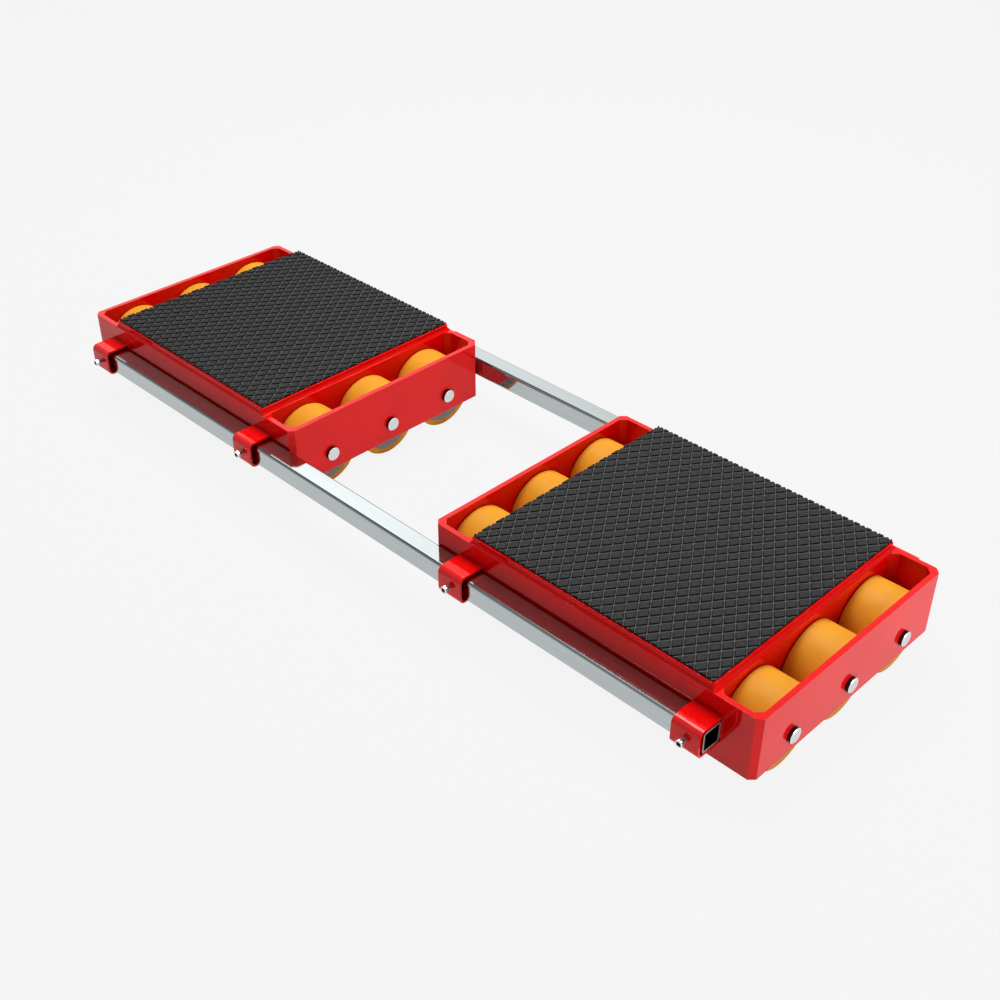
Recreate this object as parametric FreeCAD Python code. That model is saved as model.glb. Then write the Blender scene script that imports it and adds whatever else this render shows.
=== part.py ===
import FreeCAD, Part
import math
import os

from FreeCAD import Vector

# A linked pair of machine skates: two low roller carriages on two square guide bars.
# Millimetres. X runs along the guide bars, Y across them to the back, Z up from the floor.

# Rollers, in a row of axles across each end of a skate
roller_diameter = 90.0
roller_width = 44.0
tyre_thickness = 7.0
tyre_edge_chamfer = 0.5
row_names = ["front", "middle", "back"]
roller_gap = 6.0
roller_end_gap = 6.5
roller_side_gap = 1.0

# Ball bearings, one pressed into each face of a roller core
bearing_diameter = 32.0
bearing_width = 10.0
bearing_ring_wall = 3.0
bearing_shield_depth = 0.6
bearing_shoulder = 2.0
bearing_running_clearance = 0.05

# Axle pins, headed outside the frame and held by a retaining ring inside it
axle_diameter = 12.0
axle_head_diameter = 17.0
axle_head_height = 4.8
axle_head_chamfer = 0.7
axle_hole_clearance = 0.05
axle_tail = 3.5
axle_tail_chamfer = 1.0
washer_wall = 2.5
washer_clearance = 0.2
ring_thickness = 1.0
ring_wall = 2.5
ring_groove_depth = 0.5
ring_mouth = 7.0

# Frame of one skate
bay_length = 306.0
cross_plate = 8.0
end_plate = 6.0
side_plate = 6.0
frame_height = 77.0
axle_below_rim = 54.0
frame_corner_bevel = 6.0
pocket_corner_bevel = 7.0
rim_edge_radius = 0.3
rib_thickness = 8.0
rib_height = 50.0

# Deck plate, the weld seam that slopes from it to the rim, and the rubber pad on it
deck_thickness = 7.9
deck_seat = 4.6
deck_setback = 2.3
deck_corner_radius = 2.0
deck_edge_radius = 1.0
seam_height = 3.3
seam_width = 2.0
pad_thickness = 3.1
pad_margin = 1.9

# Main grooves of the pad's tread, which cross in diamonds: every second one of the moulded pattern
groove_pitch_along = 28.6
groove_pitch_across = 40.8
groove_width = 2.6
groove_depth = 1.0

# Guide bars, square tube
skate_spacing = 673.0
bar_size = 25.0
bar_wall = 2.0
bar_corner_radius = 3.0
bar_bore_radius = 1.0
bar_below_rim = 38.0
bar_gap = 0.8
bar_end_recess = 0.5

# Guide brackets, bent from sheet round the bars, which lie on their floors, and their clamp screws
bracket_sheet = 2.5
bracket_width = 33.0
bracket_inset = 40.5
bracket_bend_radius = 4.5
bracket_floor_gap = 0.5
bracket_roof_gap = 2.5
bracket_front_gap = 4.5
screw_diameter = 5.0
screw_head_diameter = 8.5
screw_head_height = 3.5
screw_head_chamfer = 0.5
screw_stand_off = 5.0
screw_tip_gap = 0.1
screw_tip_chamfer = 0.8
screw_thread_clearance = 0.1
socket_width = 4.0
socket_depth = 2.0

# How far a cutting solid runs past the face that it opens, and how near counts as the same place
overrun = 5.0
tolerance = 0.01

# Sizes that follow from the ones above
rollers_in_row = len(row_names)
roller_radius = roller_diameter / 2
axle_radius = axle_diameter / 2
bearing_radius = bearing_diameter / 2
core_radius = roller_radius - tyre_thickness
axle_pitch = roller_diameter + roller_gap
pocket_length = roller_width + 2 * roller_side_gap
row_width = (rollers_in_row - 1) * axle_pitch + roller_diameter
pocket_width = row_width + 2 * roller_end_gap
frame_width = pocket_width + 2 * side_plate
frame_length = bay_length + 2 * (cross_plate + pocket_length + end_plate)
row_x = bay_length / 2 + cross_plate + pocket_length / 2
rim_top = roller_radius + axle_below_rim
frame_bottom = rim_top - frame_height
deck_length = bay_length + 2 * deck_seat
deck_width = frame_width - 2 * deck_setback
deck_top = rim_top + deck_thickness
pad_length = deck_length - 2 * pad_margin
pad_width = deck_width - 2 * pad_margin
skate_x = skate_spacing / 2
bar_z = rim_top - bar_below_rim
bar_back = frame_width / 2 + bar_gap
bar_front = bar_back + bar_size
bracket_x = frame_length / 2 - bracket_inset - bracket_width / 2
bracket_front = bar_front + bracket_front_gap + bracket_sheet
bar_length = 2 * (skate_x + bracket_x + bracket_width / 2 - bar_end_recess)
axle_ys = [(i - (rollers_in_row - 1) / 2) * axle_pitch for i in range(rollers_in_row)]


def block(x_range, y_range, z_range):
    """A box between the given limits."""
    corner = Vector(x_range[0], y_range[0], z_range[0])
    return Part.makeBox(x_range[1] - x_range[0], y_range[1] - y_range[0], z_range[1] - z_range[0], corner)


def centred(size):
    """Limits of a size that lies evenly about zero."""
    return (-size / 2, size / 2)


def edges_along(shape, direction):
    """The straight edges of a box that run along a direction."""
    return [e for e in shape.Edges if abs(e.tangentAt(e.FirstParameter).dot(direction)) > 0.99]


def round_edges(shape, radius, direction):
    """A box with its four edges along a direction rounded."""
    return shape.makeFillet(radius, edges_along(shape, direction))


def bevel_edges(shape, size, direction):
    """A box with its four edges along a direction bevelled."""
    return shape.makeChamfer(size, edges_along(shape, direction))


def edges_at_height(shape, height):
    """The edges that lie in the level plane at a height."""
    return [e for e in shape.Edges
            if abs(e.BoundBox.ZMin - height) < tolerance
            and abs(e.BoundBox.ZMax - height) < tolerance]


def tapered(lower, upper, height):
    """A block that narrows upwards from one length and width to another."""
    low_x, low_y = centred(lower[0]), centred(lower[1])
    high_x, high_y = centred(upper[0]), centred(upper[1])
    wedge = Part.makeWedge(low_x[0], 0, low_y[0], high_y[0], high_x[0],
                           low_x[1], height, low_y[1], high_y[1], high_x[1])
    wedge.rotate(Vector(0, 0, 0), Vector(1, 0, 0), 90)
    return wedge


def turned(outline):
    """A solid turned about the X axis from points given as (place along the axis, radius)."""
    points = [Vector(x, 0, radius) for x, radius in outline]
    face = Part.Face(Part.makePolygon(points + points[:1]))
    return face.revolve(Vector(0, 0, 0), Vector(1, 0, 0), 360)


def moved(shape, x, y, z):
    """A copy of a shape, moved."""
    copy = shape.copy()
    copy.translate(Vector(x, y, z))
    return copy


def half_turned(shape):
    """A copy of a shape, turned half round about the Z axis."""
    copy = shape.copy()
    copy.rotate(Vector(0, 0, 0), Vector(0, 0, 1), 180)
    return copy


def frame():
    """Frame with bevelled corners, a roller pocket at each end and a ribbed bay under the deck."""
    up = Vector(0, 0, 1)
    heights = (frame_bottom, rim_top)
    body = bevel_edges(block(centred(frame_length), centred(frame_width), heights), frame_corner_bevel, up)
    rims = edges_at_height(body, rim_top) + edges_at_height(body, frame_bottom)
    body = body.makeFillet(rim_edge_radius, rims)
    through = (frame_bottom - overrun, rim_top + overrun)
    pocket = block(centred(pocket_length), centred(pocket_width), through)
    pocket = bevel_edges(pocket, pocket_corner_bevel, up)
    cuts = [moved(pocket, row_x, 0, 0), moved(pocket, -row_x, 0, 0)]

    rib_bottom = rim_top - rib_height
    low_bay = block(centred(bay_length), centred(pocket_width), (frame_bottom - overrun, rib_bottom))
    cuts.append(bevel_edges(low_bay, pocket_corner_bevel, up))
    rib_ys = [(a + b) / 2 for a, b in zip(axle_ys, axle_ys[1:])]
    low_sides = [-pocket_width / 2] + [y + rib_thickness / 2 for y in rib_ys]
    high_sides = [y - rib_thickness / 2 for y in rib_ys] + [pocket_width / 2]
    for y_range in zip(low_sides, high_sides):
        cell = block(centred(bay_length), y_range, (rib_bottom, rim_top + overrun))
        cuts.append(bevel_edges(cell, pocket_corner_bevel, up))

    hole = Part.makeCylinder(axle_radius + axle_hole_clearance, frame_length + 2 * overrun,
                             Vector(-frame_length / 2 - overrun, 0, roller_radius), Vector(1, 0, 0))
    cuts += [moved(hole, 0, y, 0) for y in axle_ys]
    return body.cut(cuts)


def deck_plate():
    """Load plate with its corners and upper edges eased, on a weld seam that slopes out to the rim."""
    seam_top = rim_top + seam_height
    plate = block(centred(deck_length), centred(deck_width), (seam_top, deck_top))
    plate = round_edges(plate, deck_corner_radius, Vector(0, 0, 1))
    plate = plate.makeFillet(deck_edge_radius, edges_at_height(plate, deck_top))
    foot = (deck_length + 2 * seam_width, deck_width + 2 * seam_width)
    seam = tapered(foot, (deck_length, deck_width), seam_height)
    return plate.fuse(moved(seam, 0, 0, rim_top))


def rubber_pad():
    """Slab of tread rubber on the deck plate, grooved in diamonds about its middle."""
    pad_top = deck_top + pad_thickness
    slab = block(centred(pad_length), centred(pad_width), (deck_top, pad_top))
    slant = math.degrees(math.atan2(groove_pitch_across, groove_pitch_along))
    reach = pad_length / groove_pitch_along + pad_width / groove_pitch_across
    count = math.ceil(reach / 2)
    grooves = []
    for turn in (slant, -slant):
        groove = block(centred(pad_length + pad_width), centred(groove_width),
                       (pad_top - groove_depth, pad_top + overrun))
        groove.rotate(Vector(0, 0, 0), Vector(0, 0, 1), turn)
        grooves += [moved(groove, (n + 0.5) * groove_pitch_along, 0, 0) for n in range(-count, count)]
    return slab.cut(grooves)


def guide_bracket():
    """Bent sheet channel on the front of the frame, open at its ends for the guide bar."""
    along = Vector(1, 0, 0)
    floor = bar_z - bar_size / 2 - bracket_floor_gap
    roof = bar_z + bar_size / 2 + bracket_roof_gap
    room_front = bar_front + bracket_front_gap
    face = -frame_width / 2

    def bent(x_range, y_front, y_back, z_range, radius):
        solid = block(x_range, (y_front, y_back), z_range)
        front = [e for e in edges_along(solid, along) if abs(e.BoundBox.YMax - y_front) < tolerance]
        return solid.makeFillet(radius, front)

    sheet = bent(centred(bracket_width), -bracket_front, face, (floor - bracket_sheet, roof + bracket_sheet),
                 bracket_bend_radius + bracket_sheet)
    room_length = bracket_width + 2 * overrun
    room = bent(centred(room_length), -room_front, face + overrun, (floor, roof), bracket_bend_radius)
    hole = Part.makeCylinder(screw_diameter / 2 + screw_thread_clearance, bracket_sheet + 2 * overrun,
                             Vector(0, -bracket_front - overrun, bar_z), Vector(0, 1, 0))
    return sheet.cut([room, hole])


def guide_bar():
    """Square tube along X, centred on its own axis."""
    along = Vector(1, 0, 0)
    tube = block(centred(bar_length), centred(bar_size), centred(bar_size))
    tube = round_edges(tube, bar_corner_radius, along)
    bore_size = bar_size - 2 * bar_wall
    bore = block(centred(bar_length + 2 * overrun), centred(bore_size), centred(bore_size))
    return tube.cut(round_edges(bore, bar_bore_radius, along))


def clamp_screw():
    """Socket-head screw through a bracket on the front of the frame, its tip at the bar."""
    tip = bar_front + screw_tip_gap
    head_start = bracket_front + screw_stand_off
    head_end = head_start + screw_head_height
    radius = screw_diameter / 2
    head_radius = screw_head_diameter / 2
    outline = [(tip, 0), (tip, radius - screw_tip_chamfer), (tip + screw_tip_chamfer, radius),
               (head_start, radius), (head_start, head_radius),
               (head_end - screw_head_chamfer, head_radius), (head_end, head_radius - screw_head_chamfer),
               (head_end, 0)]
    corner = socket_width / math.sqrt(3)
    angles = [math.radians(60 * k) for k in range(6)]
    points = [Vector(head_end - socket_depth, corner * math.cos(a), corner * math.sin(a)) for a in angles]
    hexagon = Part.Face(Part.makePolygon(points + points[:1]))
    screw = turned(outline).cut(hexagon.extrude(Vector(socket_depth + overrun, 0, 0)))
    screw.rotate(Vector(0, 0, 0), Vector(0, 0, 1), -90)
    return moved(screw, 0, 0, bar_z)


def axle_pin():
    """Headed pin along X from outside the +X end plate to inside the cross plate."""
    face = frame_length / 2
    tail = bay_length / 2 - axle_tail
    head_radius = axle_head_diameter / 2
    groove_radius = axle_radius - ring_groove_depth
    ring_in, ring_out = bay_length / 2 - ring_thickness, bay_length / 2
    return turned([(tail, 0), (tail, axle_radius - axle_tail_chamfer), (tail + axle_tail_chamfer, axle_radius),
                   (ring_in, axle_radius), (ring_in, groove_radius), (ring_out, groove_radius),
                   (ring_out, axle_radius), (face, axle_radius), (face, head_radius),
                   (face + axle_head_height - axle_head_chamfer, head_radius),
                   (face + axle_head_height, head_radius - axle_head_chamfer), (face + axle_head_height, 0)])


def ring_of(start, end, inner, outer):
    """Flat ring about the X axis between two places."""
    return turned([(start, inner), (end, inner), (end, outer), (start, outer)])


def axle_washers():
    """The two washers that keep one roller off the plates beside it."""
    inner = axle_radius + axle_hole_clearance
    thickness = roller_side_gap - washer_clearance
    near, far = row_x - pocket_length / 2, row_x + pocket_length / 2
    return [ring_of(near, near + thickness, inner, inner + washer_wall),
            ring_of(far - thickness, far, inner, inner + washer_wall)]


def retaining_ring():
    """Open spring ring in the axle's groove, against the cross plate."""
    inner = axle_radius - ring_groove_depth
    outer = inner + ring_wall
    ring = ring_of(bay_length / 2 - ring_thickness, bay_length / 2, inner, outer)
    mouth_x = (bay_length / 2 - ring_thickness - overrun, bay_length / 2 + overrun)
    return ring.cut(block(mouth_x, centred(ring_mouth), (-outer - overrun, 0)))


def tyre():
    """Cast polyurethane tyre, chamfered at its rims, about the X axis."""
    half = roller_width / 2
    rim = roller_radius - tyre_edge_chamfer
    shoulder = half - tyre_edge_chamfer
    return turned([(-half, core_radius), (-half, rim), (-shoulder, roller_radius),
                   (shoulder, roller_radius), (half, rim), (half, core_radius)])


def roller_core():
    """Roller core with a bearing seat in each face and a shoulder between them."""
    half = roller_width / 2
    seat = half - bearing_width
    bore = bearing_radius - bearing_shoulder
    return turned([(-half, bearing_radius), (-half, core_radius), (half, core_radius), (half, bearing_radius),
                   (seat, bearing_radius), (seat, bore), (-seat, bore), (-seat, bearing_radius)])


def bearing_pair():
    """The two shielded bearings of one roller, flush with its faces."""
    face = roller_width / 2
    back = face - bearing_width
    bore = axle_radius + bearing_running_clearance
    inner_land = bore + bearing_ring_wall
    outer_land = bearing_radius - bearing_ring_wall
    shield_front, shield_back = face - bearing_shield_depth, back + bearing_shield_depth
    bearing = turned([(back, bore), (face, bore), (face, inner_land), (shield_front, inner_land),
                      (shield_front, outer_land), (face, outer_land), (face, bearing_radius),
                      (back, bearing_radius), (back, outer_land), (shield_back, outer_land),
                      (shield_back, inner_land), (back, inner_land)])
    return [bearing, half_turned(bearing)]


def both_ends(solids):
    """Solids made for a skate's +X end, at every axle of both its ends."""
    placed = [moved(s, 0, y, roller_radius) for s in solids for y in axle_ys]
    return placed + [half_turned(s) for s in placed]


def four_corners(solid, x):
    """A solid made on the front of a skate at x = 0, by side: {(end, side): solid}."""
    corners = {}
    for end in (-1, 1):
        corners[end, "front"] = moved(solid, end * x, 0, 0)
        corners[end, "back"] = moved(half_turned(solid), end * x, 0, 0)
    return corners


def export(name, solids, x=0):
    """Writes a node of one or more solids, moved along X to its skate."""
    shapes = [moved(s, x, 0, 0) for s in solids]
    shape = shapes[0] if len(shapes) == 1 else Part.makeCompound(shapes)
    shape.exportStep("parts/" + name + ".step")


os.makedirs("parts", exist_ok=True)

brackets = four_corners(guide_bracket(), bracket_x)
screws = four_corners(clamp_screw(), bracket_x)
fixed_pieces = {
    "frame": [frame()],
    "deck_plate": [deck_plate()],
    "rubber_pad": [rubber_pad()],
    "guide_brackets": list(brackets.values()),
    "axle_pins": both_ends([axle_pin()]),
    "axle_washers": both_ends(axle_washers()),
    "retaining_rings": both_ends([retaining_ring()]),
}
roller_pieces = {"tyre": [tyre()], "core": [roller_core()], "bearings": bearing_pair()}
for skate, side in (("left", -1), ("right", 1)):
    for piece, solids in fixed_pieces.items():
        export(skate + "_" + piece, solids, side * skate_x)
    for end_name, end in (("inner", -side), ("outer", side)):
        for row_name, y in zip(row_names, axle_ys):
            for piece, solids in roller_pieces.items():
                seated = [moved(s, end * row_x, y, roller_radius) for s in solids]
                export("_".join((skate, end_name, row_name, piece)), seated, side * skate_x)
        for bar_side in ("front", "back"):
            name = "_".join((skate, end_name, bar_side, "clamp_screw"))
            export(name, [screws[end, bar_side]], side * skate_x)

bar_y = bar_back + bar_size / 2
for bar_side, direction in (("front", -1), ("back", 1)):
    export(bar_side + "_guide_bar", [moved(guide_bar(), 0, direction * bar_y, bar_z)])
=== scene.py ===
"""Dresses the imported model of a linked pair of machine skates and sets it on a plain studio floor."""

import math

import bpy
from mathutils import Euler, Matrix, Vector


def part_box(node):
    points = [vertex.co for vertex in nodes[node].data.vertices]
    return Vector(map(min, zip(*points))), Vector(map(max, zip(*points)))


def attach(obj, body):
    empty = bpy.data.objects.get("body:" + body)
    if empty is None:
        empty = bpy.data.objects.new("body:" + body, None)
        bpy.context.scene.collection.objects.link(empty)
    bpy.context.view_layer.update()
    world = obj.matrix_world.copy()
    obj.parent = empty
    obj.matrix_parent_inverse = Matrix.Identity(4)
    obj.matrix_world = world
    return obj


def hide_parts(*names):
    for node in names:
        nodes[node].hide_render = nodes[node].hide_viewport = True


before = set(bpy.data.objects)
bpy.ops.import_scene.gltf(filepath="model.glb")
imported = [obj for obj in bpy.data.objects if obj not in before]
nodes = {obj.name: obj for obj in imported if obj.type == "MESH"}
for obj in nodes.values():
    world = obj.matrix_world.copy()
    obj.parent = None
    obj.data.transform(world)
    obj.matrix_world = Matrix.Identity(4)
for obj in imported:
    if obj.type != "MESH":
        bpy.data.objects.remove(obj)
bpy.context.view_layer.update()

bl_info = {
    "name": "Machine Skate Pair",
    "version": (1, 0, 0),
    "blender": (4, 5, 0),
    "location": "3D View > Sidebar > Skates",
    "description": "Paints, treads and lights a linked pair of machine skates",
    "category": "Object",
}

SIDES = ("left", "right")
ENDS = ("inner", "outer")
FACES = ("front", "back")
LAMPS = ("above", "right", "behind")
# Name of the mark that carries painted shade on the screws
PAINTED_SHADE_MARK = "tarnish"


# Sizes and colours that a user would change

def length(name, description, default):
    """A property that holds a length in metres."""
    return bpy.props.FloatProperty(
        name=name, description=description, default=default, unit="LENGTH", precision=5)


def share(name, description, default):
    """A property that holds a share from nothing to all."""
    return bpy.props.FloatProperty(
        name=name, description=description, default=default, min=0, max=1, subtype="FACTOR")


def colour(name, description, default):
    """A property that holds a colour."""
    return bpy.props.FloatVectorProperty(
        name=name, description=description, default=default, min=0, max=1, size=3, subtype="COLOR")


def gloss_index(name, description, default):
    """A property that holds an index of refraction, which sets how glossy a finish is."""
    return bpy.props.FloatProperty(name=name, description=description, default=default, min=1)


def angle(name, description, degrees):
    """A property that holds an angle, given in degrees."""
    return bpy.props.FloatProperty(
        name=name, description=description, default=math.radians(degrees), subtype="ANGLE")


def place(name, description, default):
    """A property that holds a point in metres."""
    return bpy.props.FloatVectorProperty(
        name=name, description=description, default=default, size=3, subtype="TRANSLATION", unit="LENGTH")


def camera_length(name, description, default):
    """A property that holds a length inside the camera, in millimetres."""
    return bpy.props.FloatProperty(
        name=name, description=description, default=default, subtype="DISTANCE_CAMERA")


def power(name, description, default):
    """A property that holds the power of a lamp in watts."""
    return bpy.props.FloatProperty(
        name=name, description=description, default=default, subtype="POWER", unit="POWER")


class TreadSizes(bpy.types.PropertyGroup):
    """Sizes of the moulded tread on the rubber mats."""
    pitch_along: length("Pitch Along", "Block spacing along the guide bars", 0.0143)
    pitch_across: length("Pitch Across", "Block spacing across the guide bars", 0.0204)
    relief: length("Relief", "Height of the blocks above the grooves", 0.0015)
    ease: length("Ease", "Height of the bevel at the top of a block", 0.00015)
    bevel_share: share("Bevel Share", "Width of that bevel on both sides as a share of the spacing", 0.02)
    long_foot_share: share("Long Foot Share", "Length of a block's foot as a share of the spacing", 0.92)
    long_top_share: share("Long Top Share", "Length of a block's top as a share of the spacing", 0.765)
    short_foot_share: share("Short Foot Share", "Breadth of a block's foot as a share of the spacing", 0.752)
    short_top_share: share("Short Top Share", "Breadth of a block's top as a share of the spacing", 0.70)


class ScrewSizes(bpy.types.PropertyGroup):
    """Sizes of the clamp screws."""
    thread_pitch: length("Thread Pitch", "Distance from one thread to the next", 0.0008)
    thread_depth: length("Thread Depth", "Depth of the thread", 0.0005)
    tip_bevel: length("Tip Bevel", "Bevel at the screw's tip", 0.0008)
    head_bevel: length("Head Bevel", "Bevel at the rim of the head", 0.0005)
    knurl_depth: length("Knurl Depth", "Depth of the grooves round the head", 0.0001)
    head_length: length("Head Length", "Length of the head along the screw", 0.0035)
    shank_diameter: length("Shank Diameter", "Outer diameter of the thread", 0.005)
    socket_width: length("Socket Width", "Width across the flats of the hexagon socket", 0.004)
    socket_depth: length("Socket Depth", "Depth of the hexagon socket", 0.002)


class Finishes(bpy.types.PropertyGroup):
    """Colours and gloss of the finishes."""
    red_deep: colour("Red, Deep", "Enamel where it lies thick", (0.66, 0.0015, 0.0015))
    red_bright: colour("Red, Bright", "Enamel where it lies thin", (0.74, 0.003, 0.003))
    sprayed_index: gloss_index("Sprayed Index", "Gloss of the frames and brackets", 1.31)
    brushed_index: gloss_index("Brushed Index", "Gloss of the deck plates", 1.16)
    rubber_dark: colour("Rubber, Dark", "Tread rubber", (0.014, 0.014, 0.0143))
    rubber_worn: colour("Rubber, Worn", "Tread rubber where it is scuffed", (0.021, 0.021, 0.0213))
    # Painted shade and painted light: the wall colour darkens the blocks' sides, the floor colour lightens
    # the groove floors
    rubber_wall_shade: colour("Rubber, Wall", "Tread rubber down the sides of the blocks", (0.004, 0.004, 0.0041))
    rubber_lit_floor: colour("Rubber, Dusty", "Tread rubber in the dusty grooves", (0.066, 0.066, 0.067))
    rubber_index: gloss_index("Rubber Index", "Gloss of the tread rubber", 1.25)
    tyre_deep: colour("Tyre, Deep", "Polyurethane of the tyres", (0.63, 0.272, 0.021))
    tyre_bright: colour("Tyre, Bright", "Paler polyurethane", (0.68, 0.30, 0.026))
    tyre_index: gloss_index("Tyre Index", "Gloss of the tyres", 1.14)
    core_grey: colour("Core Grey", "Roller cores", (0.19, 0.20, 0.20))
    zinc_pale: colour("Zinc, Pale", "Plated pins and screws", (0.86, 0.86, 0.87))
    zinc_dull: colour("Zinc, Dull", "Plating where it is dull", (0.70, 0.70, 0.71))
    # Painted shade: this dark zinc darkens the pins' sides and the screws' threads and sockets
    zinc_painted_shade: colour("Zinc, Dark", "Plating round the sides of pins and in sockets", (0.035, 0.035, 0.036))
    bar_pale: colour("Bar, Pale", "Drawn steel of the guide bars", (0.475, 0.515, 0.52))
    bar_dull: colour("Bar, Dull", "Drawn steel along its grain", (0.435, 0.47, 0.475))
    # Painted shade: the brow and edge colours darken the bars' front corners
    bar_brow_shade: colour("Bar, Brow", "Drawn steel where its top starts to turn down", (0.026, 0.03, 0.03))
    bar_corner_shade: colour("Bar, Edge", "Drawn steel round the corners", (0.16, 0.18, 0.18))
    spring_dark: colour("Spring, Dark", "Retaining rings", (0.10, 0.10, 0.11))


class StageSettings(bpy.types.PropertyGroup):
    """Camera, floor and light."""
    camera_place: place("Camera", "Where the camera stands", (1.0002, -0.9315, 0.9557))
    camera_yaw: angle("Yaw", "Turn of the camera to the left of the Y axis", 44.98)
    camera_pitch: angle("Pitch", "How far the camera looks down", 35.31)
    camera_lens: camera_length("Lens", "Focal length of the camera", 49.07)
    camera_sensor: camera_length("Sensor", "Width of the camera's sensor", 36)
    floor_reach: length("Floor Reach", "How far the floor goes each way from the middle", 30)
    floor_tone: share("Floor Tone", "Brightness of the pale floor", 0.913)
    glow_share: share("Glow Share", "How far the floor keeps its own brightness in shade", 0.975)
    sky_tone: share("Sky Tone", "Brightness of the light from all round", 0.12)
    above_place: place("Lamp Above", "Where the lamp above hangs", (-0.4, 0.65, 2.4))
    above_width: length("Width Above", "Width of the lamp above", 1.6)
    above_power: power("Power Above", "Power of the lamp above", 91)
    above_spread: angle("Spread Above", "How far the lamp above spreads its light", 180)
    right_place: place("Lamp Right", "Where the lamp at the right stands", (2.4, 0.4, 0.7))
    right_width: length("Width Right", "Width of the lamp at the right", 1.3)
    right_power: power("Power Right", "Power of the lamp at the right", 27)
    right_spread: angle("Spread Right", "How far the lamp at the right spreads its light", 180)
    behind_place: place("Lamp Behind", "Where the lamp behind stands", (-1.9, 1.2, 1.7))
    behind_width: length("Width Behind", "Width of the lamp behind", 2.3)
    behind_power: power("Power Behind", "Power of the lamp behind", 0.95)
    behind_spread: angle("Spread Behind", "How far the lamp behind spreads its light", 42)


# Node helpers

# The Mix node's colour sockets go by their places, because their names repeat
COLOUR_INPUTS = (6, 7)
COLOUR_OUTPUT = 2
EVEN = (1, 1, 1)


def add(tree, kind, values=None, **options):
    """A new node with its options and the values of its inputs set."""
    node = tree.nodes.new(kind)
    for key, value in options.items():
        setattr(node, key, value)
    for key, value in (values or {}).items():
        node.inputs[key].default_value = value
    return node


def linked(value):
    """Whether a value is another node's output."""
    return isinstance(value, bpy.types.NodeSocket)


def feed(tree, sockets, values):
    """Links sockets to other nodes' outputs, or sets them to fixed values."""
    for socket, value in zip(sockets, values):
        if linked(value):
            tree.links.new(value, socket)
        else:
            socket.default_value = value


def sums(tree, operation, *terms):
    """The output of a maths node on numbers or other outputs."""
    node = add(tree, "ShaderNodeMath", operation=operation)
    feed(tree, node.inputs, terms)
    return node.outputs["Value"]


def plus(tree, first, second):
    """Two numbers or outputs added."""
    return sums(tree, "ADD", first, second)


def minus(tree, first, second):
    """One number or output less another."""
    return sums(tree, "SUBTRACT", first, second)


def times(tree, first, second):
    """Two numbers or outputs multiplied."""
    return sums(tree, "MULTIPLY", first, second)


def over(tree, first, second):
    """One number or output divided by another."""
    return sums(tree, "DIVIDE", first, second)


def half(tree, value):
    """Half of an output."""
    return times(tree, value, 0.5)


def vector(tree, x=0, y=0, z=0):
    """A vector of numbers or other outputs."""
    node = add(tree, "ShaderNodeCombineXYZ")
    feed(tree, node.inputs, (x, y, z))
    return node.outputs["Vector"]


def parts(tree, source):
    """The X, Y and Z of a vector."""
    split = add(tree, "ShaderNodeSeparateXYZ")
    tree.links.new(source, split.inputs["Vector"])
    return split.outputs


# Material helpers

def new_finish(name):
    """A material, its node tree and its shader."""
    material = bpy.data.materials.new(name)
    material.use_nodes = True
    tree = material.node_tree
    return material, tree, tree.nodes["Principled BSDF"]


def rgba(tone):
    """A colour with full opacity."""
    return (*tone, 1.0)


def surface_point(tree, stretch=EVEN):
    """The point on the piece, stretched along its axes."""
    point = add(tree, "ShaderNodeTexCoord").outputs["Object"]
    mapping = add(tree, "ShaderNodeMapping", {"Scale": stretch})
    tree.links.new(point, mapping.inputs["Vector"])
    return mapping.outputs["Vector"]


def grain(tree, scale, detail=2, stretch=EVEN):
    """Noise whose scale counts features in a metre."""
    noise = add(tree, "ShaderNodeTexNoise", {"Scale": scale, "Detail": detail})
    tree.links.new(surface_point(tree, stretch), noise.inputs["Vector"])
    return noise.outputs["Fac"]


def ranged(tree, source, low=0, high=1, start=0.3, end=0.7):
    """A number spread from low to high as the source goes from start to end."""
    limits = {"From Min": start, "From Max": end, "To Min": low, "To Max": high}
    spread = add(tree, "ShaderNodeMapRange", limits)
    tree.links.new(source, spread.inputs["Value"])
    return spread.outputs["Result"]


def normal_along(tree, axis):
    """How far the surface faces along an axis, from minus one to one."""
    return parts(tree, add(tree, "ShaderNodeTexCoord").outputs["Normal"])[axis]


def normal_part(tree, axis):
    """How far the surface faces along an axis, either way, from nothing to one."""
    return sums(tree, "ABSOLUTE", normal_along(tree, axis))


def mixed(tree, factor, first, second):
    """A colour between two, each a fixed colour or another node's output."""
    mix = add(tree, "ShaderNodeMix", data_type="RGBA")
    tree.links.new(factor, mix.inputs["Factor"])
    sockets = [mix.inputs[number] for number in COLOUR_INPUTS]
    feed(tree, sockets, [tone if linked(tone) else rgba(tone) for tone in (first, second)])
    return mix.outputs[COLOUR_OUTPUT]


def set_shader(shader, **values):
    """Sets the shader's own sockets, named with underscores for spaces."""
    for key, value in values.items():
        shader.inputs[key.replace("_", " ")].default_value = value


def coat(tree, shader, tone, roughness):
    """Gives the shader a colour and a roughness from other nodes."""
    tree.links.new(tone, shader.inputs["Base Color"])
    tree.links.new(roughness, shader.inputs["Roughness"])


def bumped(tree, shader, source, height, strength):
    """Raises the surface by a source."""
    bump = add(tree, "ShaderNodeBump", {"Strength": strength, "Distance": height})
    tree.links.new(source, bump.inputs["Height"])
    tree.links.new(bump.outputs["Normal"], shader.inputs["Normal"])


# Finishes

# How far up a block's side the painted light of the groove floor reaches
LIT_FLOOR_SHARE = 0.3
# How deep red, green and blue light go into the tyres, in metres
LIGHT_DEPTHS = (0.004, 0.0016, 0.0003)
# The dark patches of a core, as a share of its colour
CORE_SHADE_SHARE = 0.8
# How many times finer than the clouds of a plating its dull patches and its pits are
PATCHES_FINER = 3
PITS_FINER = 5
# Patterns drawn out along or round the X axis
LATHE_STRETCH = (1, 0.01, 0.01)
DRAWN_STRETCH = (0.02, 1, 1)
SCRATCH_STRETCH = (0.004, 1, 1)


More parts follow.
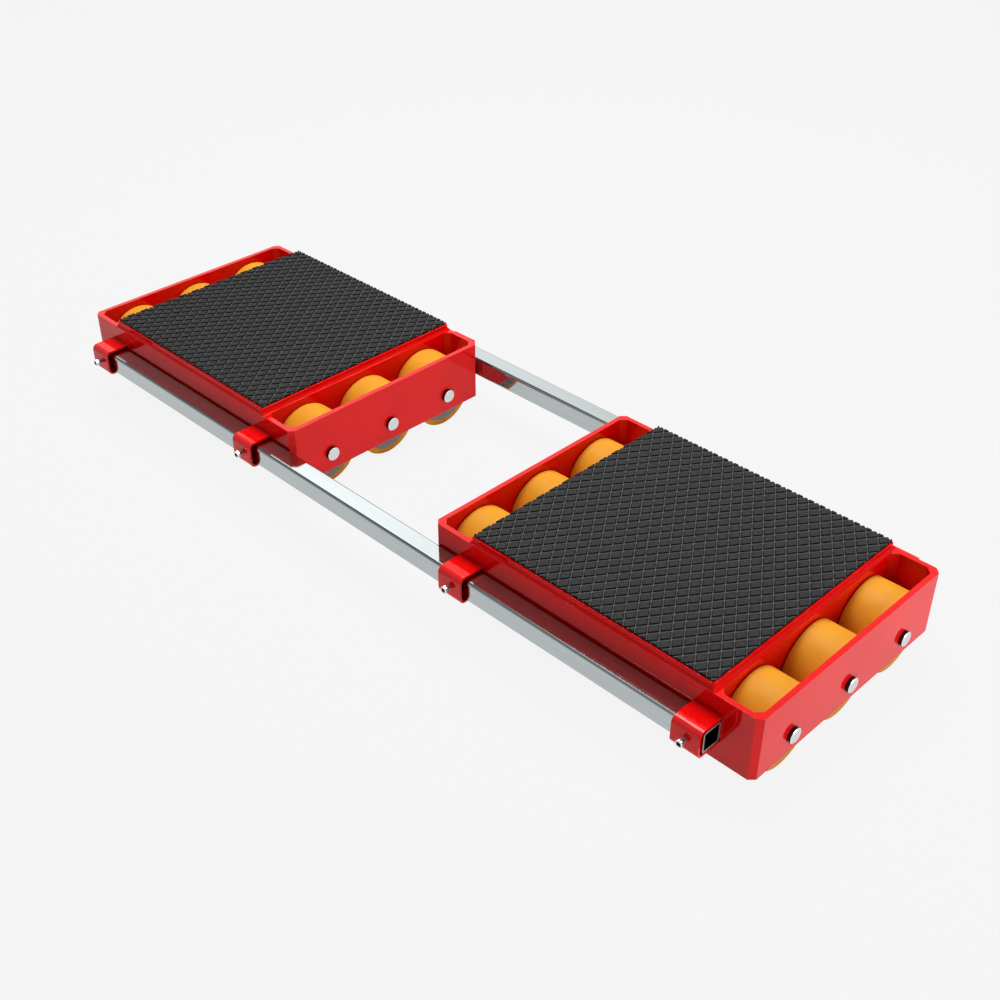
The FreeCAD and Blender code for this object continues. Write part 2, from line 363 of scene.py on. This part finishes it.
def red_enamel(tones, name, index):
    """Gloss red enamel with a faint orange peel, glossier with a higher index of refraction."""
    material, tree, shader = new_finish(name)
    set_shader(shader, IOR=index)
    clouds = ranged(tree, grain(tree, scale=14))
    roughness = ranged(tree, grain(tree, scale=60, detail=3), low=0.03, high=0.06)
    coat(tree, shader, mixed(tree, clouds, tones.red_deep, tones.red_bright), roughness)
    bumped(tree, shader, grain(tree, scale=420, detail=1), height=0.0001, strength=0.02)
    return material


def tread_rubber(tones, floor, relief):
    """Black moulded rubber with a matt skin, painted shade down the sides of its blocks and painted light on
    the floors of its grooves.
    """
    material, tree, shader = new_finish("tread_rubber")
    set_shader(shader, IOR=tones.rubber_index)
    scuffs = ranged(tree, grain(tree, scale=160, detail=5))
    tops = mixed(tree, scuffs, tones.rubber_dark, tones.rubber_worn)
    height = parts(tree, surface_point(tree))["Z"]
    # Painted light: the groove floors, low in the mat, take the paler floor colour
    lowness = ranged(tree, height, low=1, high=0, start=floor, end=floor + LIT_FLOOR_SHARE * relief)
    flats = mixed(tree, lowness, tops, tones.rubber_lit_floor)
    # Painted shade: the blocks' upright sides take the darker wall colour
    level = ranged(tree, normal_part(tree, "Z"), start=0.9, end=0.98)
    roughness = ranged(tree, grain(tree, scale=300, detail=3), low=0.7, high=0.85)
    coat(tree, shader, mixed(tree, level, tones.rubber_wall_shade, flats), roughness)
    bumped(tree, shader, grain(tree, scale=2600), height=0.0001, strength=0.25)
    return material


def cast_polyurethane(tones):
    """Orange polyurethane, turned on a lathe, so fine rings run round it."""
    material, tree, shader = new_finish("cast_polyurethane")
    set_shader(shader, IOR=tones.tyre_index, Subsurface_Weight=0.12, Subsurface_Radius=LIGHT_DEPTHS,
               Subsurface_Scale=1.0)
    clouds = ranged(tree, grain(tree, scale=35, detail=3))
    roughness = ranged(tree, grain(tree, scale=90, detail=3), low=0.36, high=0.48)
    coat(tree, shader, mixed(tree, clouds, tones.tyre_deep, tones.tyre_bright), roughness)
    rings = grain(tree, scale=900, detail=1, stretch=LATHE_STRETCH)
    bumped(tree, shader, rings, height=0.00005, strength=0.2)
    return material


def core_casting(tones):
    """Grey cast core of a roller."""
    material, tree, shader = new_finish("core_casting")
    darker = tuple(CORE_SHADE_SHARE * part for part in tones.core_grey)
    clouds = ranged(tree, grain(tree, scale=220, detail=4))
    roughness = ranged(tree, grain(tree, scale=400), low=0.42, high=0.6)
    coat(tree, shader, mixed(tree, clouds, darker, tones.core_grey), roughness)
    bumped(tree, shader, grain(tree, scale=900), height=0.0001, strength=0.2)
    return material


def plated_steel(name, pale, dull, rough_low, rough_high, scale):
    """Bright metal with a cloudy skin: its material, node tree, shader and the colour of the skin."""
    material, tree, shader = new_finish(name)
    set_shader(shader, Metallic=1.0)
    skin = mixed(tree, ranged(tree, grain(tree, scale, detail=4)), dull, pale)
    roughness = ranged(tree, grain(tree, PATCHES_FINER * scale, detail=3), rough_low, rough_high)
    coat(tree, shader, skin, roughness)
    bumped(tree, shader, grain(tree, PITS_FINER * scale), height=0.00005, strength=0.08)
    return material, tree, shader, skin


def zinc_pins(tones):
    """Zinc plating on the axle pins: painted shade round their sides, and a painted highlight on the rim
    round the face of the head.
    """
    material, tree, shader, skin = plated_steel(
        "zinc_pins", tones.zinc_dull, tones.zinc_dull, rough_low=0.16, rough_high=0.28, scale=220)
    facing = normal_part(tree, "X")
    # Painted highlight: the rim round the head's face, facing partly along X, takes the pale zinc
    head = mixed(tree, ranged(tree, facing, start=0.8, end=0.95), tones.zinc_pale, skin)
    # Painted shade: the sides, which face across X, take the dark zinc
    finish = mixed(tree, ranged(tree, facing, start=0.15, end=0.5), tones.zinc_painted_shade, head)
    tree.links.new(finish, shader.inputs["Base Color"])
    return material


def zinc_screws(tones):
    """Zinc plating on the clamp screws, with painted shade along their threads and down in their sockets."""
    material, tree, shader, skin = plated_steel(
        "zinc_screws", tones.zinc_pale, tones.zinc_dull, rough_low=0.10, rough_high=0.20, scale=220)
    # Painted shade: marked points on the thread and in the socket take the dark zinc
    tarnish = add(tree, "ShaderNodeAttribute", attribute_name=PAINTED_SHADE_MARK).outputs["Fac"]
    tree.links.new(mixed(tree, tarnish, skin, tones.zinc_painted_shade), shader.inputs["Base Color"])
    return material


def drawn_steel(tones):
    """Bright drawn tube: fine lines along it, painted shade where it turns down to the front, its ends sawn.
    """
    material, tree, shader = new_finish("drawn_steel")
    set_shader(shader, Metallic=1.0)
    lines = grain(tree, scale=420, detail=3, stretch=DRAWN_STRETCH)
    flat = mixed(tree, ranged(tree, lines), tones.bar_dull, tones.bar_pale)
    # The painted shade lies on the corner between the level top and the upright front
    slope = normal_part(tree, "Z")
    turning = ranged(tree, slope, start=0.3, end=0.5)
    settling = ranged(tree, slope, low=1, high=0, start=0.996, end=0.9999)
    front = ranged(tree, normal_along(tree, "Y"), low=1, high=0, start=-0.06, end=-0.02)
    corner_shade_mask = times(tree, times(tree, turning, settling), front)
    # Painted shade: the corner takes the dark edge colour, and the near-black brow colour where the top
    # starts to turn down
    corner = mixed(tree, ranged(tree, slope, start=0.86, end=0.93), tones.bar_corner_shade, tones.bar_brow_shade)
    sawn = ranged(tree, normal_part(tree, "X"), high=0.5, start=0.8, end=0.95)
    roughness = sums(tree, "MAXIMUM", ranged(tree, lines, low=0.05, high=0.10), sawn)
    coat(tree, shader, mixed(tree, corner_shade_mask, flat, corner), roughness)
    bumped(tree, shader, grain(tree, scale=700, stretch=SCRATCH_STRETCH), height=0.00003, strength=0.05)
    return material


def dress(names, material):
    """Gives CAD nodes a material."""
    for name in names:
        node = nodes[name]
        node.data.materials.clear()
        node.data.materials.append(material)


# Geometry Nodes helpers

def new_tree(name, sizes):
    """A geometry tree whose inputs are the given numbers, a place, a turn and a material."""
    tree = bpy.data.node_groups.new(name, "GeometryNodeTree")
    for label in sizes:
        tree.interface.new_socket(name=label, in_out="INPUT", socket_type="NodeSocketFloat")
    for label in ("Place", "Turn"):
        tree.interface.new_socket(name=label, in_out="INPUT", socket_type="NodeSocketVector")
    tree.interface.new_socket(name="Finish", in_out="INPUT", socket_type="NodeSocketMaterial")
    tree.interface.new_socket(name="Geometry", in_out="OUTPUT", socket_type="NodeSocketGeometry")
    return tree, add(tree, "NodeGroupInput").outputs


def shape(tree, kind, links=None, values=None, **options):
    """The first output of a geometry node with some inputs linked and some set."""
    node = add(tree, kind, values, **options)
    for key, source in (links or {}).items():
        for output in source if isinstance(source, list) else [source]:
            tree.links.new(output, node.inputs[key])
    return node.outputs[0]


def moved(tree, geometry, move):
    """A shape moved by a vector."""
    return shape(tree, "GeometryNodeTransform", {"Geometry": geometry, "Translation": move})


def finish_tree(tree, inputs, geometry):
    """Sets the shape in its place, realises it and gives it its material."""
    seated = shape(tree, "GeometryNodeTransform",
                   {"Geometry": geometry, "Translation": inputs["Place"], "Rotation": inputs["Turn"]})
    real = shape(tree, "GeometryNodeRealizeInstances", {"Geometry": seated})
    finished = shape(tree, "GeometryNodeSetMaterial", {"Geometry": real, "Material": inputs["Finish"]})
    tree.links.new(finished, add(tree, "NodeGroupOutput").inputs["Geometry"])


def grown(tree, name, settings):
    """A plain object made by a geometry tree with the given settings."""
    carrier = bpy.data.objects.new(name + "_carrier", bpy.data.meshes.new(name + "_carrier"))
    bpy.context.scene.collection.objects.link(carrier)
    modifier = carrier.modifiers.new("Shape", "NODES")
    modifier.node_group = tree
    for item in tree.interface.items_tree:
        if item.in_out == "INPUT":
            modifier[item.identifier] = settings[item.name]
    evaluated = carrier.evaluated_get(bpy.context.evaluated_depsgraph_get())
    mesh = bpy.data.meshes.new_from_object(evaluated)
    mesh.name = name
    bpy.data.objects.remove(carrier)
    if not mesh.polygons:
        raise RuntimeError(f"the geometry tree {tree.name} made nothing for {name}")
    piece = bpy.data.objects.new(name, mesh)
    bpy.context.scene.collection.objects.link(piece)
    return piece


# Tread mats

TREAD_INPUTS = ("Mat Length", "Mat Width", "Mat Height", "Pitch Along", "Pitch Across", "Relief", "Ease",
                "Bevel Share", "Long Foot Share", "Long Top Share", "Short Foot Share", "Short Top Share")
# A block starts as a cube from minus one to one, with rings of points at its foot, its brow and its top
BLOCK_CUBE = (2, 2, 2)
BLOCK_RINGS = 3
# How far one step on that cube goes, as a share of the spacing
CUBE_STEP_SHARE = 0.25
# Height of the box that cuts the blocks off, as a share of the mat's height
CUTTER_SHARE = 4


def tread_tree():
    """A mat of rubber: diamond blocks in staggered rows on a slab, cut off square at the mat's edges."""
    tree, inputs = new_tree("tread_mat", TREAD_INPUTS)
    block = shape(tree, "GeometryNodeMeshCube", values={"Size": BLOCK_CUBE, "Vertices Z": BLOCK_RINGS})
    spot = parts(tree, add(tree, "GeometryNodeInputPosition").outputs["Position"])
    above_foot = sums(tree, "MINIMUM", plus(tree, spot["Z"], 1), 1)
    above_brow = sums(tree, "MAXIMUM", spot["Z"], 0)

    def ringed(foot, brow, top):
        """A measure that has one value at the foot of a block, one at its brow and one at its top."""
        to_brow = times(tree, above_foot, minus(tree, brow, foot))
        to_top = times(tree, above_brow, minus(tree, top, brow))
        return plus(tree, foot, plus(tree, to_brow, to_top))

    # A block's sides follow the two runs of grooves, which lean to the left and to the right
    reach = {}
    for side, axis in (("Long", "X"), ("Short", "Y")):
        foot = inputs[side + " Foot Share"]
        top = inputs[side + " Top Share"]
        brow = plus(tree, top, inputs["Bevel Share"])
        reach[side] = times(tree, spot[axis], ringed(foot, brow, top))
    along = times(tree, minus(tree, reach["Long"], reach["Short"]), inputs["Pitch Along"])
    across = times(tree, plus(tree, reach["Long"], reach["Short"]), inputs["Pitch Across"])
    brow_height = minus(tree, inputs["Relief"], inputs["Ease"])
    corner = vector(tree, times(tree, along, CUBE_STEP_SHARE), times(tree, across, CUBE_STEP_SHARE),
                    ringed(0, brow_height, inputs["Relief"]))
    block = shape(tree, "GeometryNodeSetPosition", {"Geometry": block, "Position": corner})

    # Two grids of places, one moved half a pitch along and one across, so that grooves cross in the middle
    spans = {}
    for axis, span, pitch in (("X", "Mat Length", "Pitch Along"), ("Y", "Mat Width", "Pitch Across")):
        half_count = sums(tree, "CEIL", over(tree, half(tree, inputs[span]), inputs[pitch]))
        steps = times(tree, plus(tree, half_count, 1), 2)
        spans["Size " + axis] = times(tree, steps, inputs[pitch])
        spans["Vertices " + axis] = plus(tree, steps, 1)
    grid = shape(tree, "GeometryNodeMeshGrid", spans)
    moves = (vector(tree, x=half(tree, inputs["Pitch Along"])),
             vector(tree, y=half(tree, inputs["Pitch Across"])))
    grids = [moved(tree, grid, move) for move in moves]
    places = shape(tree, "GeometryNodeJoinGeometry", {"Geometry": grids})
    blocks = shape(tree, "GeometryNodeInstanceOnPoints", {"Points": places, "Instance": block})
    blocks = shape(tree, "GeometryNodeRealizeInstances", {"Geometry": blocks})

    # The slab below and the box that cuts the blocks off
    slab_height = minus(tree, inputs["Mat Height"], inputs["Relief"])
    blocks = moved(tree, blocks, vector(tree, z=slab_height))
    cutter_size = vector(tree, inputs["Mat Length"], inputs["Mat Width"],
                         times(tree, inputs["Mat Height"], CUTTER_SHARE))
    cutter = shape(tree, "GeometryNodeMeshCube", {"Size": cutter_size})
    blocks = shape(tree, "GeometryNodeMeshBoolean", {"Mesh 2": [blocks, cutter]}, operation="INTERSECT",
                   solver="MANIFOLD")
    slab_size = vector(tree, inputs["Mat Length"], inputs["Mat Width"], slab_height)
    slab = shape(tree, "GeometryNodeMeshCube", {"Size": slab_size})
    slab = moved(tree, slab, vector(tree, z=half(tree, slab_height)))
    mat = shape(tree, "GeometryNodeMeshBoolean", {"Mesh 2": [blocks, slab]}, operation="UNION",
                solver="MANIFOLD")
    finish_tree(tree, inputs, mat)
    return tree


# Clamp screws

SCREW_INPUTS = ("Shank Radius", "Shank Length", "Thread Pitch", "Thread Depth", "Tip Bevel", "Head Radius",
                "Head Length", "Head Bevel", "Knurl Depth", "Socket Radius", "Socket Depth")
THREAD_SIDES = 32
THREAD_RINGS = 80
KNURL_SIDES = 96
HEAD_RINGS = 12
SOCKET_SIDES = 6
# A hexagon's width across its flats, for a radius of one
HEXAGON_FLATS = math.sqrt(3)
# How dark the painted shade on the thread is, and how far the painted shade reaches past the socket and along
# the shank
THREAD_PAINTED_SHADE = 0.85
SOCKET_MARK_SHARE = 1.05
SHANK_MARK_SHARE = 0.98


def screw_tree():
    """A socket-head screw up the Z axis from its tip, threaded below a knurled head."""
    tree, inputs = new_tree("clamp_screw", SCREW_INPUTS)
    spot = parts(tree, add(tree, "GeometryNodeInputPosition").outputs["Position"])
    bearing = sums(tree, "ARCTAN2", spot["Y"], spot["X"])
    cosine = sums(tree, "COSINE", bearing)
    sine = sums(tree, "SINE", bearing)

    def rod(radius, depth, sides, rings=1):
        """A cylinder about the Z axis, half above the origin and half below."""
        return shape(tree, "GeometryNodeMeshCylinder", {"Radius": radius, "Depth": depth},
                     {"Vertices": sides, "Side Segments": rings})

    def turned(rod_shape, radius, height):
        """A rod whose points have a new radius and height, each at its own bearing."""
        point = vector(tree, times(tree, cosine, radius), times(tree, sine, radius), height)
        return shape(tree, "GeometryNodeSetPosition", {"Geometry": rod_shape, "Position": point})

    # Thread: the radius falls and rises once in a turn and once in a pitch
    shank = rod(inputs["Shank Radius"], inputs["Shank Length"], THREAD_SIDES, THREAD_RINGS)
    climb = plus(tree, spot["Z"], half(tree, inputs["Shank Length"]))
    turns = over(tree, bearing, math.tau)
    phase = sums(tree, "FRACT", plus(tree, over(tree, climb, inputs["Thread Pitch"]), plus(tree, turns, 1)))
    wave = sums(tree, "ABSOLUTE", minus(tree, times(tree, phase, 2), 1))
    crest = minus(tree, inputs["Shank Radius"], times(tree, inputs["Thread Depth"], wave))
    tip = plus(tree, minus(tree, inputs["Shank Radius"], inputs["Tip Bevel"]), climb)
    threaded = turned(shank, sums(tree, "MINIMUM", crest, tip), climb)

    # Head: grooved round its side, bevelled at its rim, with a hexagon socket
    half_head = half(tree, inputs["Head Length"])
    head = rod(inputs["Head Radius"], inputs["Head Length"], KNURL_SIDES, HEAD_RINGS)
    ridge = sums(tree, "COSINE", times(tree, bearing, KNURL_SIDES / 2))
    groove = times(tree, minus(tree, 1, ridge), half(tree, inputs["Knurl Depth"]))
    knurled = minus(tree, inputs["Head Radius"], groove)
    below_rim = minus(tree, half_head, spot["Z"])
    rim = plus(tree, minus(tree, inputs["Head Radius"], inputs["Head Bevel"]), below_rim)
    top = plus(tree, plus(tree, spot["Z"], half_head), inputs["Shank Length"])
    head = turned(head, sums(tree, "MINIMUM", knurled, rim), top)
    head_end = plus(tree, inputs["Shank Length"], inputs["Head Length"])
    socket = rod(inputs["Socket Radius"], times(tree, inputs["Socket Depth"], 2), SOCKET_SIDES)
    socket = moved(tree, socket, vector(tree, z=head_end))
    head = shape(tree, "GeometryNodeMeshBoolean", {"Mesh 1": head, "Mesh 2": socket}, operation="DIFFERENCE")
    screw = shape(tree, "GeometryNodeJoinGeometry", {"Geometry": [threaded, head]})

    # The points along the thread and down in the socket are marked for painted shade in the finish
    squares = [sums(tree, "POWER", spot[axis], 2) for axis in ("X", "Y")]
    off_axis = sums(tree, "SQRT", plus(tree, *squares))
    sunk = minus(tree, head_end, spot["Z"])
    in_socket = sums(tree, "LESS_THAN", off_axis, times(tree, inputs["Socket Radius"], SOCKET_MARK_SHARE))
    to_floor = sums(tree, "LESS_THAN", sunk, times(tree, inputs["Socket Depth"], SOCKET_MARK_SHARE))
    on_shank = sums(tree, "LESS_THAN", spot["Z"], times(tree, inputs["Shank Length"], SHANK_MARK_SHARE))
    mark = sums(tree, "MAXIMUM", times(tree, in_socket, to_floor), times(tree, on_shank, THREAD_PAINTED_SHADE))
    marked = shape(tree, "GeometryNodeStoreNamedAttribute", {"Geometry": screw, "Value": mark},
                   {"Name": PAINTED_SHADE_MARK})
    finish_tree(tree, inputs, marked)
    return tree


# Stage

def seen_directly(tree):
    """One for rays from the camera, and for those that reach it by gloss or through glass."""
    path = add(tree, "ShaderNodeLightPath").outputs
    either = sums(tree, "MAXIMUM", path["Is Camera Ray"], path["Is Glossy Ray"])
    return sums(tree, "MAXIMUM", either, path["Is Transmission Ray"])


def shown(tree, factor, unseen, seen, output):
    """Ends a tree in a mix of the shader for other rays and the shader for those seen directly."""
    mix = add(tree, "ShaderNodeMixShader")
    tree.links.new(factor, mix.inputs["Fac"])
    for number, shader in enumerate((unseen, seen), start=1):
        tree.links.new(shader.outputs[0], mix.inputs[number])
    tree.links.new(mix.outputs["Shader"], add(tree, output).inputs["Surface"])


def pale_floor(stage):
    """A matt floor that keeps a faint shadow and otherwise its own pale tone."""
    material, tree, _ = new_finish("pale_floor")
    tree.nodes.clear()
    tone = rgba((stage.floor_tone,) * 3)
    matt = add(tree, "ShaderNodeBsdfDiffuse", {"Color": tone})
    glow = add(tree, "ShaderNodeEmission", {"Color": tone, "Strength": 1})
    shown(tree, times(tree, seen_directly(tree), stage.glow_share), matt, glow, "ShaderNodeOutputMaterial")
    return material


def pale_sky(stage):
    """Even light from all round, and the floor's pale tone where the sky itself is seen."""
    world = bpy.data.worlds.new("pale_sky")
    world.use_nodes = True
    tree = world.node_tree
    tree.nodes.clear()
    light = add(tree, "ShaderNodeBackground", {"Color": rgba((stage.sky_tone,) * 3)})
    backdrop = add(tree, "ShaderNodeBackground", {"Color": rgba((stage.floor_tone,) * 3)})
    shown(tree, seen_directly(tree), light, backdrop, "ShaderNodeOutputWorld")
    return world


def softbox(stage, side):
    """A square lamp that faces the middle of the object."""
    spot = getattr(stage, side + "_place")
    lamp = bpy.data.lights.new("lamp_" + side, "AREA")
    lamp.shape = "SQUARE"
    lamp.size = getattr(stage, side + "_width")
    lamp.energy = getattr(stage, side + "_power")
    lamp.spread = getattr(stage, side + "_spread")
    holder = bpy.data.objects.new("lamp_" + side, lamp)
    holder.location = spot
    holder.rotation_euler = (-Vector(spot)).to_track_quat("-Z", "Y").to_euler()
    bpy.context.scene.collection.objects.link(holder)


# Operators

class SKATE_OT_set_stage(bpy.types.Operator):
    """Set the camera, the pale floor and the studio light"""
    bl_idname = "skate.set_stage"
    bl_label = "Set Stage"

    def execute(self, context):
        scene = context.scene
        stage = scene.skate_stage
        scene.view_settings.view_transform = "Standard"
        scene.world = pale_sky(stage)

        reach = stage.floor_reach
        corners = [(-reach, -reach, 0), (reach, -reach, 0), (reach, reach, 0), (-reach, reach, 0)]
        sheet = bpy.data.meshes.new("studio_floor")
        sheet.from_pydata(corners, [], [range(len(corners))])
        sheet.materials.append(pale_floor(stage))
        floor = bpy.data.objects.new("studio_floor", sheet)
        scene.collection.objects.link(floor)

        for side in LAMPS:
            softbox(stage, side)

        lens = bpy.data.cameras.new("photo_camera")
        lens.lens = stage.camera_lens
        lens.sensor_width = stage.camera_sensor
        camera = bpy.data.objects.new("photo_camera", lens)
        camera.location = stage.camera_place
        camera.rotation_euler = Euler((math.pi / 2 - stage.camera_pitch, 0, stage.camera_yaw))
        scene.collection.objects.link(camera)
        scene.camera = camera
        return {"FINISHED"}


class SKATE_OT_paint_steelwork(bpy.types.Operator):
    """Paint the frames, deck plates and guide brackets"""
    bl_idname = "skate.paint_steelwork"
    bl_label = "Paint Steelwork"

    def execute(self, context):
        tones = context.scene.skate_finishes
        sprayed = red_enamel(tones, "sprayed_enamel", tones.sprayed_index)
        brushed = red_enamel(tones, "brushed_enamel", tones.brushed_index)
        dress([f"{side}_{part}" for side in SIDES for part in ("frame", "guide_brackets")], sprayed)
        dress([f"{side}_deck_plate" for side in SIDES], brushed)
        return {"FINISHED"}


class SKATE_OT_lay_treads(bpy.types.Operator):
    """Lay a treaded rubber mat on each deck"""
    bl_idname = "skate.lay_treads"
    bl_label = "Lay Tread Mats"

    def execute(self, context):
        sizes = context.scene.skate_tread
        groove_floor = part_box("left_rubber_pad")[1].z - sizes.relief
        rubber = tread_rubber(context.scene.skate_finishes, groove_floor, sizes.relief)
        tree = tread_tree()
        for side in SIDES:
            node = f"{side}_rubber_pad"
            low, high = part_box(node)
            mat = grown(tree, f"{side}_tread_mat", {
                "Mat Length": high.x - low.x, "Mat Width": high.y - low.y, "Mat Height": high.z - low.z,
                "Pitch Along": sizes.pitch_along, "Pitch Across": sizes.pitch_across,
                "Relief": sizes.relief, "Ease": sizes.ease, "Bevel Share": sizes.bevel_share,
                "Long Foot Share": sizes.long_foot_share, "Long Top Share": sizes.long_top_share,
                "Short Foot Share": sizes.short_foot_share, "Short Top Share": sizes.short_top_share,
                "Place": ((low.x + high.x) / 2, (low.y + high.y) / 2, low.z),
                "Turn": (0, 0, 0), "Finish": rubber})
            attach(mat, f"{side}_skate")
            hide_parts(node)
        dress([f"{side}_rubber_pad" for side in SIDES], rubber)
        return {"FINISHED"}


class SKATE_OT_finish_rollers(bpy.types.Operator):
    """Finish the tyres, cores and bearings of the rollers"""
    bl_idname = "skate.finish_rollers"
    bl_label = "Finish Rollers"

    def execute(self, context):
        tones = context.scene.skate_finishes
        bearing_steel, *_ = plated_steel(
            "bearing_steel", tones.zinc_pale, tones.zinc_dull, rough_low=0.2, rough_high=0.3, scale=150)
        finishes = {"_tyre": cast_polyurethane(tones), "_core": core_casting(tones),
                    "_bearings": bearing_steel}
        for ending, finish in finishes.items():
            dress([name for name in nodes if name.endswith(ending)], finish)
        return {"FINISHED"}


class SKATE_OT_finish_pins(bpy.types.Operator):
    """Finish the axle pins, washers and retaining rings"""
    bl_idname = "skate.finish_pins"
    bl_label = "Finish Axle Pins"

    def execute(self, context):
        tones = context.scene.skate_finishes
        zinc = zinc_pins(tones)
        spring, *_ = plated_steel(
            "spring_steel", tones.spring_dark, tones.spring_dark, rough_low=0.3, rough_high=0.45, scale=220)
        dress([f"{side}_{part}" for side in SIDES for part in ("axle_pins", "axle_washers")], zinc)
        dress([f"{side}_retaining_rings" for side in SIDES], spring)
        return {"FINISHED"}


class SKATE_OT_cut_screws(bpy.types.Operator):
    """Make the threaded clamp screws"""
    bl_idname = "skate.cut_screws"
    bl_label = "Cut Clamp Screws"

    def execute(self, context):
        sizes = context.scene.skate_screws
        zinc = zinc_screws(context.scene.skate_finishes)
        tree = screw_tree()
        for name in [f"{side}_{end}_{face}" for side in SIDES for end in ENDS for face in FACES]:
            low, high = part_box(name + "_clamp_screw")
            middle = (low + high) / 2
            at_front = name.endswith("front")
            tip = high.y if at_front else low.y
            screw = grown(tree, name + "_screw_piece", {
                "Shank Radius": sizes.shank_diameter / 2,
                "Shank Length": high.y - low.y - sizes.head_length,
                "Thread Pitch": sizes.thread_pitch, "Thread Depth": sizes.thread_depth,
                "Tip Bevel": sizes.tip_bevel, "Head Radius": (high.x - low.x) / 2,
                "Head Length": sizes.head_length, "Head Bevel": sizes.head_bevel,
                "Knurl Depth": sizes.knurl_depth, "Socket Radius": sizes.socket_width / HEXAGON_FLATS,
                "Socket Depth": sizes.socket_depth, "Place": (middle.x, tip, middle.z),
                "Turn": (math.pi / 2 if at_front else -math.pi / 2, 0, 0), "Finish": zinc})
            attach(screw, name + "_screw")
            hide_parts(name + "_clamp_screw")
            dress([name + "_clamp_screw"], zinc)
        return {"FINISHED"}


class SKATE_OT_finish_bars(bpy.types.Operator):
    """Finish the guide bars"""
    bl_idname = "skate.finish_bars"
    bl_label = "Finish Guide Bars"

    def execute(self, context):
        dress([f"{face}_guide_bar" for face in FACES], drawn_steel(context.scene.skate_finishes))
        return {"FINISHED"}


class SKATE_PT_builder(bpy.types.Panel):
    """Lists the sizes, the finishes and the steps"""
    bl_idname = "SKATE_PT_builder"
    bl_label = "Machine Skates"
    bl_space_type = "VIEW_3D"
    bl_region_type = "UI"
    bl_category = "Skates"

    def draw(self, context):
        for group in GROUPS:
            settings = getattr(context.scene, group)
            box = self.layout.box()
            for key in settings.__annotations__:
                box.prop(settings, key)
        for step in STEPS:
            self.layout.operator(step.bl_idname)


GROUPS = {"skate_tread": TreadSizes, "skate_screws": ScrewSizes, "skate_finishes": Finishes,
          "skate_stage": StageSettings}
STEPS = (SKATE_OT_set_stage, SKATE_OT_paint_steelwork, SKATE_OT_lay_treads, SKATE_OT_finish_rollers,
         SKATE_OT_finish_pins, SKATE_OT_cut_screws, SKATE_OT_finish_bars)
CLASSES = (*GROUPS.values(), *STEPS, SKATE_PT_builder)


def register():
    """Adds the settings, the steps and the panel."""
    for kind in CLASSES:
        bpy.utils.register_class(kind)
    for name, group in GROUPS.items():
        setattr(bpy.types.Scene, name, bpy.props.PointerProperty(type=group))


def unregister():
    """Takes the settings, the steps and the panel away again."""
    for name in GROUPS:
        delattr(bpy.types.Scene, name)
    for kind in reversed(CLASSES):
        bpy.utils.unregister_class(kind)


def main():
    """Takes every step in order."""
    register()
    for step in STEPS:
        family, action = step.bl_idname.split(".")
        getattr(getattr(bpy.ops, family), action)()


if __name__ == "__main__":
    main()
